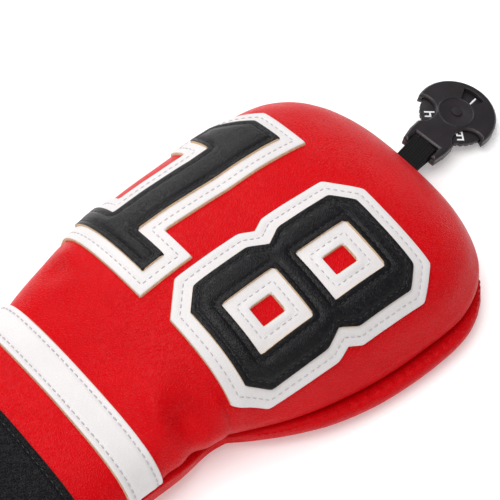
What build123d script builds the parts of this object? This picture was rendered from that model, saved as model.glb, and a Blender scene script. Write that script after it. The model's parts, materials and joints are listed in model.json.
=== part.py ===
from build123d import *
import math
import os

os.makedirs("parts", exist_ok=True)

# Driver head cover lying on its back, number side up.  Millimetres, +Z up, +Y from the
# mouth to the crown tip.  Stations are distances u from the crown tip towards the mouth,
# and insets are depths below the outer face of the red leather (negative stands proud).

# ---- driving dimensions: the head ----
cover_length = 330.0
head_half_width = 72.0
crown_length = 52.0
crown_power = 2.5
crest_height = 45.0
crest_length = 90.0
crest_power = 2.1
head_seam_height = 12.0
lip_width = 6.5
nose_length = 30.0
nose_power = 2.2

# ---- driving dimensions: the waist and the neck ----
left_waist = 188.0
right_waist = 152.0
left_neck_half_width = 54.0
right_neck_half_width = 52.0
neck_crest_height = 22.5
neck_seam_height = 21.0
neck_lift = 2.4
taper_start_power = 2.3
taper_end_power = 0.935
top_fullness = 0.713
side_fullness = 0.6
under_fullness = 0.55
flat_share = 0.55
lip_level = 0.45

# ---- driving dimensions: the layers ----
leather = 1.2
foam = 3.0
lining = 1.0
layer_gap = 0.1
seam_gap = 0.1
stripe_width = 17.5
band_width = 18.5
sleeve_overlap = 10.0
elastic_width = 22.0
elastic_thickness = 1.4
elastic_edge = 0.5
binding_width = 11.0
binding_thickness = 0.9

# ---- driving dimensions: the numerals, measured along the leather ----
numeral_width = 54.0
numeral_height = 91.0
numeral_chamfer = 8.5
upright_stroke = 14.0
level_stroke = 11.5
waist_notch = 4.5
white_margin = 8.0
one_stem = 17.0
one_flag = 15.0
right_numeral_left = 5.8
right_numeral_base = 40.0
left_numeral_left = -67.9
left_numeral_base = 37.6
numeral_origin_station = 180.0
numeral_foam = 0.9
numeral_foam_margin = 2.2
outline_step = 12.0

# ---- driving dimensions: the number tag and its strap ----
strap_x = -7.4
strap_heading = 11.0
strap_dip = 6.0
strap_roll = 7.0
strap_width = 12.4
strap_thickness = 1.2
strap_reach = 12.5
strap_exit = 3.0
strap_tail_inset = 2.6
strap_running_gap = 0.3
tag_radius = 19.5
tag_thickness = 6.5
tag_wall = 2.0
tag_split_gap = 0.1
rim_bevel = 1.0
bar_to_disc = 27.4
bar_radius = 2.0
slot_gap = 0.3
lug_cover = 0.8
lug_half_width = 10.4
lug_end_half_width = 9.2
notch_radius = 7.5
notch_side = 14.3
notch_back = 10.5
window_inner_radius = 8.6
window_outer_radius = 16.0
window_half_angle = 21.0
ring_radius = 8.5
ring_width = 1.0
ring_rise = 0.35
dial_radius = 17.2
dial_gap = 0.25
dial_knurls = 36
dial_knurl_radius = 0.8
digit_radius = 12.4
digit_height = 5.6
digit_width = 3.4
digit_stroke = 0.8
digit_rise = 0.12
dial_digits = "12345678"
rivet_radius = 2.0
rivet_running_gap = 0.08
rivet_head_radius = 2.7
rivet_head_rise = 0.7

# ---- places worked out from them ----
tag_reach = strap_exit + strap_reach + bar_to_disc + tag_radius
tip_y = (cover_length - tag_reach * math.cos(math.radians(strap_heading))) / 2
padding_top = leather + layer_gap
padding_bottom = padding_top + foam
lining_top = padding_bottom + layer_gap
lining_bottom = lining_top + lining
overlay_bottom = -layer_gap
overlay_top = overlay_bottom - leather
stripe_end = left_waist + stripe_width
band_end = stripe_end + band_width
elastic_station = right_waist + 16.0


# ---- shape of the cover ----
def swell(distance, length, power):
    """Share of the full size reached a distance in from a rounded end."""
    short = max(0.0, 1.0 - distance / length)
    return (1.0 - short**power) ** (1.0 / power)


def taper(u, start, end):
    """Falls from 1 at the start station to 0 at the end station."""
    share = min(1.0, max(0.0, (u - start) / (end - start)))
    return (1.0 - share**taper_start_power) ** taper_end_power


def half_width(u, inset, side):
    """Plan half width at a station; side is +1 on the right and -1 on the left."""
    waist = right_waist if side > 0 else left_waist
    neck = right_neck_half_width if side > 0 else left_neck_half_width
    if u < crown_length:
        return (head_half_width - inset) * swell(u - inset, crown_length - inset, crown_power)
    return neck + (head_half_width - neck) * taper(u, crown_length, waist) - inset


def crest(u, inset):
    """Height of the front above the side seam."""
    if u < crest_length:
        return (crest_height - inset) * swell(u - inset, crest_length - inset, crest_power)
    fall = crest_height - neck_crest_height
    return neck_crest_height + fall * taper(u, crest_length, left_waist) - inset


def neck_share(u):
    """0 over the head, 1 over the neck, straight between."""
    return min(1.0, max(0.0, (u - crest_length) / (left_waist - crest_length)))


def seam_height(u):
    return head_seam_height + (neck_seam_height - head_seam_height) * neck_share(u)


def depth(u, inset):
    """How far the back hangs below the side seam."""
    full = seam_height(u) - seam_gap / 2 - neck_lift * neck_share(u) - inset
    return full * swell(u - inset, nose_length - inset, nose_power)


def lip(u):
    """How far the back bulges out past the side seam."""
    share = min(1.0, max(0.0, (u - leather) / (right_waist - leather)))
    return lip_width * max(0.0, math.sin(math.pi * share)) ** 0.7


def station_plane(u):
    return Plane(origin=(0, tip_y - u, 0), x_dir=(1, 0, 0), z_dir=(0, -1, 0))


def stations(inset, first, last):
    """Section stations: close together round the crown, one step along a straight neck."""
    crown = [inset + (crown_length - inset) * (k / 10) ** 2 for k in range(1, 11)]
    nose = [inset + 0.25]
    taper_run = [crown_length + (left_waist - crown_length) * k / 12 for k in range(1, 13)]
    inside = [u for u in nose + crown + taper_run if first + 0.2 < u < last - 0.2]
    start = [] if first < inset else [first]
    return start + inside + [last]


def quarter(side, width, low, height, fullness):
    """A rounded corner from the side seam up (or down) to the middle."""
    rise = height * fullness
    Bezier(
        (side * width, low),
        (side * width, low + rise),
        (side * width * fullness, low + height),
        (0, low + height),
    )


def front_loaf(inset, first, last, drop=0.0):
    """The whole body above the side seam at one inset, let down by drop."""
    with BuildPart() as loaf:
        for u in stations(inset, first, last):
            right = half_width(u, inset, 1)
            left = half_width(u, inset, -1)
            base = seam_height(u) + seam_gap / 2
            with BuildSketch(station_plane(u)):
                with BuildLine():
                    quarter(1, right, base, crest(u, inset), top_fullness)
                    quarter(-1, left, base, crest(u, inset), top_fullness)
                    if drop:
                        Line((right, base), (right, base - drop))
                        Line((-left, base), (-left, base - drop))
                    Line((right, base - drop), (-left, base - drop))
                make_face()
        loft(ruled=True)
    return loaf.part


def back_side(side, u, inset, seam):
    """The back's edge on one side: out over the lip, then under to the flat."""
    width = half_width(u, inset, side)
    out = width + lip(u)
    drop = depth(u, inset)
    level = seam - lip_level * drop
    flat = flat_share * width
    Bezier(
        (side * width, seam),
        (side * (width + side_fullness * lip(u)), seam),
        (side * out, level + side_fullness * (seam - level)),
        (side * out, level),
    )
    Bezier(
        (side * out, level),
        (side * out, level - under_fullness * (level - seam + drop)),
        (side * (flat + (out - flat) * (1 - under_fullness)), seam - drop),
        (side * flat, seam - drop),
    )
    return width, flat


def back_loaf(inset, first, last, rise=0.0):
    """The whole body below the side seam at one inset, carried up by rise."""
    with BuildPart() as loaf:
        for u in stations(inset, first, last):
            seam = seam_height(u) - seam_gap / 2
            floor = seam - depth(u, inset)
            with BuildSketch(station_plane(u)):
                with BuildLine():
                    right, right_flat = back_side(1, u, inset, seam)
                    left, left_flat = back_side(-1, u, inset, seam)
                    Line((right_flat, floor), (-left_flat, floor))
                    if rise:
                        Line((right, seam), (right, seam + rise))
                        Line((-left, seam), (-left, seam + rise))
                    Line((right, seam + rise), (-left, seam + rise))
                make_face()
        loft(ruled=True)
    return loaf.part


def layer(loaf, top, bottom, first, last):
    """One layer of the front or back, between two insets and two stations."""
    overshoot = 5.0
    inner_first = first - overshoot if first > top else first
    outer = loaf(top, first, last)
    inner = loaf(bottom, inner_first, last + overshoot, overshoot)
    with BuildPart() as made:
        add(outer)
        add(inner, mode=Mode.SUBTRACT)
    return made.part


# ---- frame of the strap and the tag ----
heading = math.radians(strap_heading)
dip = math.radians(strap_dip)
roll = math.radians(strap_roll)
along = Vector(-math.sin(heading) * math.cos(dip), math.cos(heading) * math.cos(dip), -math.sin(dip))
level_across = Vector(math.cos(heading), math.sin(heading), 0)
across = level_across * math.cos(roll) - level_across.cross(along) * math.sin(roll)
upward = across.cross(along)
strap_root = Vector(strap_x, tip_y + strap_exit, head_seam_height)
bar_centre = strap_root + along * strap_reach
disc_centre = bar_centre + along * bar_to_disc
tag_plane = Plane(origin=disc_centre, x_dir=across, z_dir=upward)
strap_plane = Plane(origin=bar_centre, x_dir=along, z_dir=across)
tail_length = strap_exit + strap_tail_inset - strap_thickness - strap_running_gap
tail_middle = strap_root - along * (strap_thickness + strap_running_gap + tail_length / 2)
tail_plane = Plane(origin=tail_middle, x_dir=across, z_dir=upward)


# ---- strap tail, sewn into the tip seam ----
with BuildPart(tail_plane) as strap_tail:
    Box(strap_width, tail_length, 2 * strap_thickness)

with BuildPart(tail_plane) as tail_slot:
    Box(
        strap_width + 2 * seam_gap,
        tail_length + 2 * seam_gap,
        2 * strap_thickness + 2 * seam_gap,
    )

# ---- leather panels ----
panel_end = band_end + sleeve_overlap
with BuildPart() as front_panel:
    add(layer(front_loaf, 0.0, leather, -1.0, panel_end))
    add(tail_slot.part, mode=Mode.SUBTRACT)

with BuildPart() as back_panel:
    add(layer(back_loaf, 0.0, leather, -1.0, panel_end))
    add(tail_slot.part, mode=Mode.SUBTRACT)

with BuildPart() as front_stripe:
    add(layer(front_loaf, overlay_top, overlay_bottom, left_waist, stripe_end))

with BuildPart() as sleeve_front:
    add(layer(front_loaf, overlay_top, overlay_bottom, band_end, cover_length))

with BuildPart() as sleeve_back:
    add(layer(back_loaf, overlay_top, overlay_bottom, band_end, cover_length))

# ---- padding ----
soft_end = cover_length - binding_width
elastic_start = elastic_station - elastic_width / 2
elastic_stop = elastic_station + elastic_width / 2
with BuildPart() as front_padding:
    add(layer(front_loaf, padding_top, padding_bottom, -1.0, soft_end))
    add(tail_slot.part, mode=Mode.SUBTRACT)

with BuildPart() as back_padding:
    add(layer(back_loaf, padding_top, padding_bottom, -1.0, elastic_start - elastic_edge))
    add(layer(back_loaf, padding_top, padding_bottom, elastic_stop + elastic_edge, soft_end))
    add(tail_slot.part, mode=Mode.SUBTRACT)

with BuildPart() as waist_elastic:
    add(layer(back_loaf, padding_top, padding_top + elastic_thickness, elastic_start, elastic_stop))

# ---- lining ----
with BuildPart() as front_lining:
    add(layer(front_loaf, lining_top, lining_bottom, -1.0, cover_length))

with BuildPart() as back_lining:
    add(layer(back_loaf, lining_top, lining_bottom, -1.0, cover_length))


# ---- binding round the mouth ----
def mouth_face(inset):
    """The neck's whole section at one inset, at the mouth's edge."""
    u = cover_length
    seam = seam_height(u) - seam_gap / 2
    floor = seam - depth(u, inset)
    with BuildSketch(station_plane(u + layer_gap)) as face:
        with BuildLine():
            right, right_flat = back_side(1, u, inset, seam)
            left, left_flat = back_side(-1, u, inset, seam)
            Line((right_flat, floor), (-left_flat, floor))
            quarter(1, right, seam, seam_gap + crest(u, inset), top_fullness)
            quarter(-1, left, seam, seam_gap + crest(u, inset), top_fullness)
        make_face()
    return face.sketch


binding_outer_bottom = overlay_top - layer_gap
binding_outer_top = binding_outer_bottom - binding_thickness
binding_inner_top = lining_bottom + layer_gap
binding_inner_bottom = binding_inner_top + binding_thickness
outer_flap = mouth_face(binding_outer_top)
outer_seat = mouth_face(binding_outer_bottom)
inner_seat = mouth_face(binding_inner_top)
inner_flap = mouth_face(binding_inner_bottom)
with BuildPart() as mouth_binding:
    extrude(outer_flap, amount=-binding_width)
    extrude(outer_seat, amount=-binding_width, mode=Mode.SUBTRACT)
    extrude(inner_seat, amount=-binding_width)
    extrude(outer_flap, amount=binding_thickness)
    extrude(inner_flap, amount=binding_thickness, mode=Mode.SUBTRACT)
    extrude(inner_flap, amount=-binding_width, mode=Mode.SUBTRACT)


# ---- numerals ----
def crest_station(distance):
    """Station reached by going a distance up the crest from the numerals' origin."""
    step = 0.5
    u = numeral_origin_station
    while distance > 0 and u > step:
        fall = (seam_height(u - step) + crest(u - step, 0)) - (seam_height(u) + crest(u, 0))
        distance -= math.hypot(step, fall)
        u -= step
    return u


def across_section(u, distance):
    """Plan x reached by going a distance sideways over the front from the crest."""
    side = 1 if distance > 0 else -1
    width = half_width(u, 0, side)
    height = crest(u, 0)
    x = 0.0
    z = height
    left_to_go = abs(distance)
    steps = 60
    for k in range(steps - 1, -1, -1):
        t = k / steps
        keep = 1 - t
        next_x = width * (keep**3 + 3 * t * keep**2 + 3 * t * t * keep * top_fullness)
        next_z = height * (3 * t * keep**2 * top_fullness + 3 * t * t * keep + t**3)
        length = math.hypot(next_x - x, next_z - z)
        if length >= left_to_go:
            return side * (x + (next_x - x) * left_to_go / length)
        left_to_go -= length
        x = next_x
        z = next_z
    return side * x


def on_front(point):
    """Plan place of a point given along the leather."""
    u = crest_station(point[1])
    return (across_section(u, point[0]), tip_y - u)


def grown(points, margin):
    """The outline moved out by a margin, with mitred corners (anticlockwise outlines)."""
    result = []
    count = len(points)
    for k, point in enumerate(points):
        before = Vector(*point) - Vector(*points[k - 1])
        after = Vector(*points[(k + 1) % count]) - Vector(*point)
        first = Vector(before.Y, -before.X).normalized()
        second = Vector(after.Y, -after.X).normalized()
        shift = (first + second) * (margin / (1 + first.dot(second)))
        result.append((point[0] + shift.X, point[1] + shift.Y))
    return result


def placed(points, left, base):
    return [(left + x, base + y) for x, y in points]


def finely(points):
    """The outline with its long sides divided, so that it follows the leather."""
    result = []
    for k, start in enumerate(points):
        end = points[(k + 1) % len(points)]
        parts = max(1, round(math.dist(start, end) / outline_step))
        for part in range(parts):
            share = part / parts
            result.append(tuple(a + (b - a) * share for a, b in zip(start, end)))
    return result


def plan_face(points):
    with BuildSketch(mode=Mode.PRIVATE) as face:
        with BuildLine():
            Polyline(*[on_front(point) for point in finely(points)], close=True)
        make_face()
    return face.sketch


stem_left = (numeral_width - one_stem) / 2
stem_right = (numeral_width + one_stem) / 2
flag_drop = one_flag + level_stroke
one_outline = [
    (0, 0),
    (numeral_width, 0),
    (numeral_width, level_stroke),
    (stem_right, level_stroke),
    (stem_right, numeral_height),
    (stem_left, numeral_height),
    (stem_left - one_flag, numeral_height - one_flag),
    (stem_left - one_flag, numeral_height - flag_drop),
    (stem_left, numeral_height - flag_drop),
    (stem_left, level_stroke),
    (0, level_stroke),
]

middle = numeral_height / 2
eight_outline = [
    (numeral_chamfer, 0),
    (numeral_width - numeral_chamfer, 0),
    (numeral_width, numeral_chamfer),
    (numeral_width, middle - numeral_chamfer),
    (numeral_width - waist_notch, middle),
    (numeral_width, middle + numeral_chamfer),
    (numeral_width, numeral_height - numeral_chamfer),
    (numeral_width - numeral_chamfer, numeral_height),
    (numeral_chamfer, numeral_height),
    (0, numeral_height - numeral_chamfer),
    (0, middle + numeral_chamfer),
    (waist_notch, middle),
    (0, middle - numeral_chamfer),
    (0, numeral_chamfer),
]
counter_right = numeral_width - upright_stroke
lower_counter = [
    (upright_stroke, level_stroke),
    (counter_right, level_stroke),
    (counter_right, middle - level_stroke / 2),
    (upright_stroke, middle - level_stroke / 2),
]
upper_counter = [(x, numeral_height - y) for x, y in reversed(lower_counter)]


def numeral(outline, counters, left, base, margin, top, bottom):
    """One layer of one numeral, lying on the front between two insets."""
    sky = 2 * crest_height + head_seam_height
    face = plan_face(grown(placed(outline, left, base), margin))
    holes = [plan_face(grown(placed(hole, left, base), -margin)) for hole in counters]
    outer = front_loaf(top, -10.0, left_waist)
    inner = front_loaf(bottom, -10.0, left_waist + 1.0, 1.0)
    with BuildPart() as made:
        extrude(face, amount=sky)
        for hole in holes:
            extrude(hole, amount=sky, mode=Mode.SUBTRACT)
        add(outer, mode=Mode.INTERSECT)
        add(inner, mode=Mode.SUBTRACT)
    return made.part


foam_bottom = overlay_top - layer_gap
foam_top = foam_bottom - numeral_foam
black_bottom = foam_top - layer_gap
black_top = black_bottom - leather
one_place = (one_outline, [], left_numeral_left, left_numeral_base)
eight_place = (eight_outline, [lower_counter, upper_counter], right_numeral_left, right_numeral_base)

with BuildPart() as one_white:
    add(numeral(*one_place, white_margin, overlay_top, overlay_bottom))

with BuildPart() as one_foam:
    add(numeral(*one_place, -numeral_foam_margin, foam_top, foam_bottom))

with BuildPart() as one_black:
    add(numeral(*one_place, 0, black_top, black_bottom))

with BuildPart() as eight_white:
    add(numeral(*eight_place, white_margin, overlay_top, overlay_bottom))

with BuildPart() as eight_foam:
    add(numeral(*eight_place, -numeral_foam_margin, foam_top, foam_bottom))

with BuildPart() as eight_black:
    add(numeral(*eight_place, 0, black_top, black_bottom))

# ---- strap loop, which passes round the tag's bar ----
loop_inner_radius = bar_radius + slot_gap
loop_outer_radius = loop_inner_radius + strap_thickness
with BuildPart() as tag_loop:
    with BuildSketch(strap_plane):
        Circle(loop_outer_radius)
        with Locations((-strap_reach, 0)):
            Circle(strap_thickness)
        make_hull()
        with BuildSketch(strap_plane, mode=Mode.SUBTRACT):
            Circle(loop_inner_radius)
            with Locations((-strap_reach / 2, 0)):
                Circle(slot_gap)
            make_hull()
    extrude(amount=strap_width / 2, both=True)

# ---- tag plates ----
slot_half_width = strap_width / 2 + slot_gap
slot_top = -bar_to_disc + loop_outer_radius + slot_gap
lug_end = -bar_to_disc - bar_radius - lug_cover
pocket_radius = dial_radius + slot_gap
half_thickness = tag_thickness / 2
pocket_top = half_thickness - tag_wall


def tag_outline():
    """Disc and lug, less the two finger notches and the room for the strap."""
    Circle(tag_radius)
    Polygon(
        (-lug_half_width, -notch_back),
        (-lug_half_width, slot_top),
        (-lug_end_half_width, lug_end),
        (lug_end_half_width, lug_end),
        (lug_half_width, slot_top),
        (lug_half_width, -notch_back),
        align=None,
    )
    with Locations((-notch_side, -notch_back), (notch_side, -notch_back)):
        Circle(notch_radius, mode=Mode.SUBTRACT)
    with Locations((0, slot_top)):
        Rectangle(
            2 * slot_half_width,
            2 * (slot_top - lug_end),
            align=(Align.CENTER, Align.MAX),
            mode=Mode.SUBTRACT,
        )


def on_disc(radius, angle):
    """A point on the tag at a radius and an angle from +Y, in degrees."""
    return (radius * math.sin(math.radians(angle)), radius * math.cos(math.radians(angle)))


def plate(side):
    """The front (+1) or back (-1) plate, with its half of the dial's pocket."""
    with BuildPart() as made:
        with BuildSketch(tag_plane.offset(side * tag_split_gap / 2)):
            tag_outline()
        extrude(amount=side * (half_thickness - tag_split_gap / 2))
        outer_face = made.faces().sort_by(Axis(disc_centre, upward))[-1 if side > 0 else 0]
        chamfer(outer_face.outer_wire().edges(), length=rim_bevel)
        with BuildSketch(tag_plane):
            Circle(pocket_radius)
        extrude(amount=side * pocket_top, mode=Mode.SUBTRACT)
        with BuildSketch(tag_plane):
            Circle(rivet_radius + rivet_running_gap)
        extrude(amount=side * tag_thickness, mode=Mode.SUBTRACT)
        with BuildSketch(strap_plane):
            Circle(bar_radius)
            with Locations((0, side * tag_split_gap / 2)):
                Rectangle(
                    2 * bar_radius,
                    2 * bar_radius,
                    align=(Align.CENTER, Align.MAX if side > 0 else Align.MIN),
                    mode=Mode.SUBTRACT,
                )
        extrude(amount=slot_half_width, both=True)
    return made.part


with BuildPart() as tag_front_plate:
    add(plate(1))
    with BuildSketch(tag_plane.offset(half_thickness)):
        Circle(ring_radius + ring_width / 2)
        Circle(ring_radius - ring_width / 2, mode=Mode.SUBTRACT)
        with Locations((-notch_side, -notch_back), (notch_side, -notch_back)):
            Circle(notch_radius, mode=Mode.SUBTRACT)
    extrude(amount=ring_rise)
    with BuildSketch(tag_plane):
        with BuildLine():
            inner_left = on_disc(window_inner_radius, -window_half_angle)
            inner_right = on_disc(window_inner_radius, window_half_angle)
            outer_left = on_disc(window_outer_radius, -window_half_angle)
            outer_right = on_disc(window_outer_radius, window_half_angle)
            ThreePointArc(inner_left, (0, window_inner_radius), inner_right)
            Line(inner_right, outer_right)
            ThreePointArc(outer_right, (0, window_outer_radius), outer_left)
            Line(outer_left, inner_left)
        make_face()
    extrude(amount=tag_thickness, mode=Mode.SUBTRACT)

with BuildPart() as tag_back_plate:
    add(plate(-1))

# ---- dial between the plates ----
dial_half = pocket_top - dial_gap
with BuildPart() as number_dial:
    with BuildSketch(tag_plane):
        Circle(dial_radius)
        with PolarLocations(dial_radius + dial_knurl_radius / 2, dial_knurls):
            Circle(dial_knurl_radius, mode=Mode.SUBTRACT)
        Circle(rivet_radius + rivet_running_gap, mode=Mode.SUBTRACT)
    extrude(amount=dial_half, both=True)

segments = {
    "a": (0, 1, 1, 0),
    "b": (1, 0.5, 0, 1),
    "c": (1, -0.5, 0, 1),
    "d": (0, -1, 1, 0),
    "e": (-1, -0.5, 0, 1),
    "f": (-1, 0.5, 0, 1),
    "g": (0, 0, 1, 0),
}
lit = {
    "1": "bc",
    "2": "abged",
    "3": "abgcd",
    "4": "fgbc",
    "5": "afgcd",
    "6": "afgecd",
    "7": "abc",
    "8": "abcdefg",
}


def digit(name):
    """One dial digit, drawn with straight bars round its own centre."""
    half_w = (digit_width - digit_stroke) / 2
    half_h = (digit_height - digit_stroke) / 2
    for letter in lit[name]:
        x, y, is_level, is_upright = segments[letter]
        with Locations((x * half_w, y * half_h)):
            Rectangle(
                digit_stroke + is_level * 2 * half_w,
                digit_stroke + is_upright * half_h,
            )


with BuildPart() as dial_numerals:
    for k, name in enumerate(dial_digits):
        turn = math.radians(k * 360 / len(dial_digits))
        out = along * math.cos(turn) - across * math.sin(turn)
        centre = disc_centre + upward * dial_half + out * digit_radius
        spot = Plane(origin=centre, x_dir=out.cross(upward), z_dir=upward)
        with BuildSketch(spot):
            digit(name)
        extrude(amount=digit_rise)

# ---- rivet that holds the plates and carries the dial ----
with BuildPart() as tag_rivet:
    with BuildSketch(tag_plane.offset(-half_thickness)):
        Circle(rivet_radius)
    extrude(amount=tag_thickness)
    for side in (1, -1):
        with BuildSketch(tag_plane.offset(side * (half_thickness + seam_gap / 2))):
            Circle(rivet_head_radius)
        extrude(amount=side * rivet_head_rise, taper=20)
        with BuildSketch(tag_plane.offset(side * half_thickness)):
            Circle(rivet_radius)
        extrude(amount=side * rivet_head_rise)

# ---- write each piece ----
pieces = {
    "front_panel": front_panel,
    "back_panel": back_panel,
    "front_padding": front_padding,
    "back_padding": back_padding,
    "front_lining": front_lining,
    "back_lining": back_lining,
    "waist_elastic": waist_elastic,
    "front_stripe": front_stripe,
    "sleeve_front": sleeve_front,
    "sleeve_back": sleeve_back,
    "mouth_binding": mouth_binding,
    "one_white": one_white,
    "one_foam": one_foam,
    "one_black": one_black,
    "eight_white": eight_white,
    "eight_foam": eight_foam,
    "eight_black": eight_black,
    "strap_tail": strap_tail,
    "tag_loop": tag_loop,
    "tag_front_plate": tag_front_plate,
    "tag_back_plate": tag_back_plate,
    "number_dial": number_dial,
    "dial_numerals": dial_numerals,
    "tag_rivet": tag_rivet,
}
for name, piece in pieces.items():
    piece.part.label = name
    export_step(piece.part, f"parts/{name}.step")
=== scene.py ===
import json
import math

import bmesh
import bpy
import numpy as np
from bpy.props import FloatProperty, FloatVectorProperty, PointerProperty
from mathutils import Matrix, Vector
from mathutils.geometry import delaunay_2d_cdt
from mathutils.noise import noise


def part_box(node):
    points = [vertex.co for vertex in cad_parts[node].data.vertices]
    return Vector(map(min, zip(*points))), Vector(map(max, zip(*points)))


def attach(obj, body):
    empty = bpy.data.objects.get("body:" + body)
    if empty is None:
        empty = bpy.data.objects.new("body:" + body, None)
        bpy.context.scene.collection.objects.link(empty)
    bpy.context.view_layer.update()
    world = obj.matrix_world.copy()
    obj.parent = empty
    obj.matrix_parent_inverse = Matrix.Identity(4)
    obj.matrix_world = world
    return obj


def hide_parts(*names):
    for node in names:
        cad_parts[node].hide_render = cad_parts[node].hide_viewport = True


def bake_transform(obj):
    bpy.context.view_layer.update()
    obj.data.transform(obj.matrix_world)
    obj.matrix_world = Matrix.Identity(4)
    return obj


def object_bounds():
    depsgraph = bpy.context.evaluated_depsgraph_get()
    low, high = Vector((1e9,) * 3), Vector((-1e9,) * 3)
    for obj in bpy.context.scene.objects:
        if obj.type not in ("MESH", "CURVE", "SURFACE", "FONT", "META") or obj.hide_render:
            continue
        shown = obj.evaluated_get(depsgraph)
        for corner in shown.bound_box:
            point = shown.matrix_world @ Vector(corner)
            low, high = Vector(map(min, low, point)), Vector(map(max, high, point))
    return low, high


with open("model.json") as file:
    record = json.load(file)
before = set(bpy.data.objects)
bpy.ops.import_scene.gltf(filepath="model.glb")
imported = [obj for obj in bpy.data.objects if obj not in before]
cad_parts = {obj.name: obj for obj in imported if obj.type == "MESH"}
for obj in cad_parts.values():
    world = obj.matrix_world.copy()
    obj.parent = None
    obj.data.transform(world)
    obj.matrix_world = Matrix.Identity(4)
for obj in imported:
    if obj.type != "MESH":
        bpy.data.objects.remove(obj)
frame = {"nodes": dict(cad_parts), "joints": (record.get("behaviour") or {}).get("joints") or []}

bl_info = {
    "name": "Driver head cover",
    "version": (1, 0, 0),
    "blender": (4, 5, 0),
    "location": "View3D > Sidebar > Head cover",
    "description": "Builds the leather, stitching, strap and tag of a driver head cover on its frame",
    "category": "Object",
}

MM = 0.001
CAD_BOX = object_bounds()


def length(name, description, default):
    """A length property in metres."""
    return FloatProperty(
        name=name, description=description, default=default, unit="LENGTH", subtype="DISTANCE"
    )


def colour(name, description, default):
    """A colour property."""
    return FloatVectorProperty(
        name=name, description=description, default=default, subtype="COLOR", size=3, min=0.0, max=1.0
    )


class HeadCoverSizes(bpy.types.PropertyGroup):
    """Sizes of the padded cover."""

    cover: length("Cover", "Length from crown tip to mouth", 0.330)
    head: length("Head", "Half the width of the head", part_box("front_panel")[1].x)
    leather: length("Leather", "Thickness of the leather", 0.0012)
    foam: length("Foam", "Thickness of the padding", 0.003)
    lining: length("Lining", "Thickness of the lining", 0.001)
    gap: length("Ply gap", "Room between two plies", 0.0001)
    tuck: length("Seam tuck", "Depth of the groove at the side seam", 0.0031)
    swell: length("Seam swell", "How far the padding stands out beside the seam", 0.0011)
    binding: length("Binding", "Width of the tape round the mouth", 0.011)
    webbing: length("Webbing", "Width of the tag's strap", 0.0124)


class HeadCoverNumerals(bpy.types.PropertyGroup):
    """Sizes of the two numerals, measured along the leather."""

    width: length("Width", "Width of a numeral", 0.054)
    height: length("Height", "Height of a numeral", 0.091)
    chamfer: length("Chamfer", "Cut corners of the eight", 0.0085)
    upright: length("Upright stroke", "Width of the upright strokes", 0.014)
    level: length("Level stroke", "Width of the level strokes", 0.0115)
    margin: length("Margin", "White leather shown round the black", 0.008)
    stitch: length("Stitch", "Length of one stitch", 0.0022)


class HeadCoverColours(bpy.types.PropertyGroup):
    """Colours of the finishes."""

    red: colour("Red", "Red leather", (0.66, 0.0004, 0.004))
    black: colour("Black", "Black leather", (0.0075, 0.0065, 0.0080))
    white: colour("White", "White leather", (0.755, 0.725, 0.725))
    edge: colour("Cut edge", "Raw edge of the leather", (0.72, 0.50, 0.30))
    tag: colour("Tag", "Moulded tag", (0.020, 0.016, 0.019))
    # painted shade: the pale pink is the thread's own colour, and its grey, darker than the white leather,
    # stands for the shade of the stitch holes
    thread: colour("Thread", "Thread on the white leather", (0.52, 0.47, 0.49))


# ---------------------------------------------------------------- shape of the cover


def limited(value):
    """A value kept from 0 to 1."""
    return np.clip(value, 0.0, 1.0)


def unit(vectors):
    """Vectors of length 1."""
    return vectors / np.maximum(np.linalg.norm(vectors, axis=-1, keepdims=True), 1e-9)


def swell(distance, length, power):
    """Share of the full size reached a distance in from a rounded end."""
    short = limited(1.0 - distance / length)
    return (1.0 - short**power) ** (1.0 / power)


def hump(value, centre, spread):
    """A smooth bump of height 1."""
    return np.exp(-(((value - centre) / spread) ** 2))


def bezier(q, start, first, second, end):
    """Value of a cubic curve at a share q of its way."""
    p = 1 - q
    return p**3 * start + 3 * q * p**2 * first + 3 * q * q * p * second + q**3 * end


def travelled(points):
    """Distance along a path at each of its points."""
    return np.concatenate([[0.0], np.cumsum(np.linalg.norm(np.diff(points, axis=0), axis=-1))])


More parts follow.
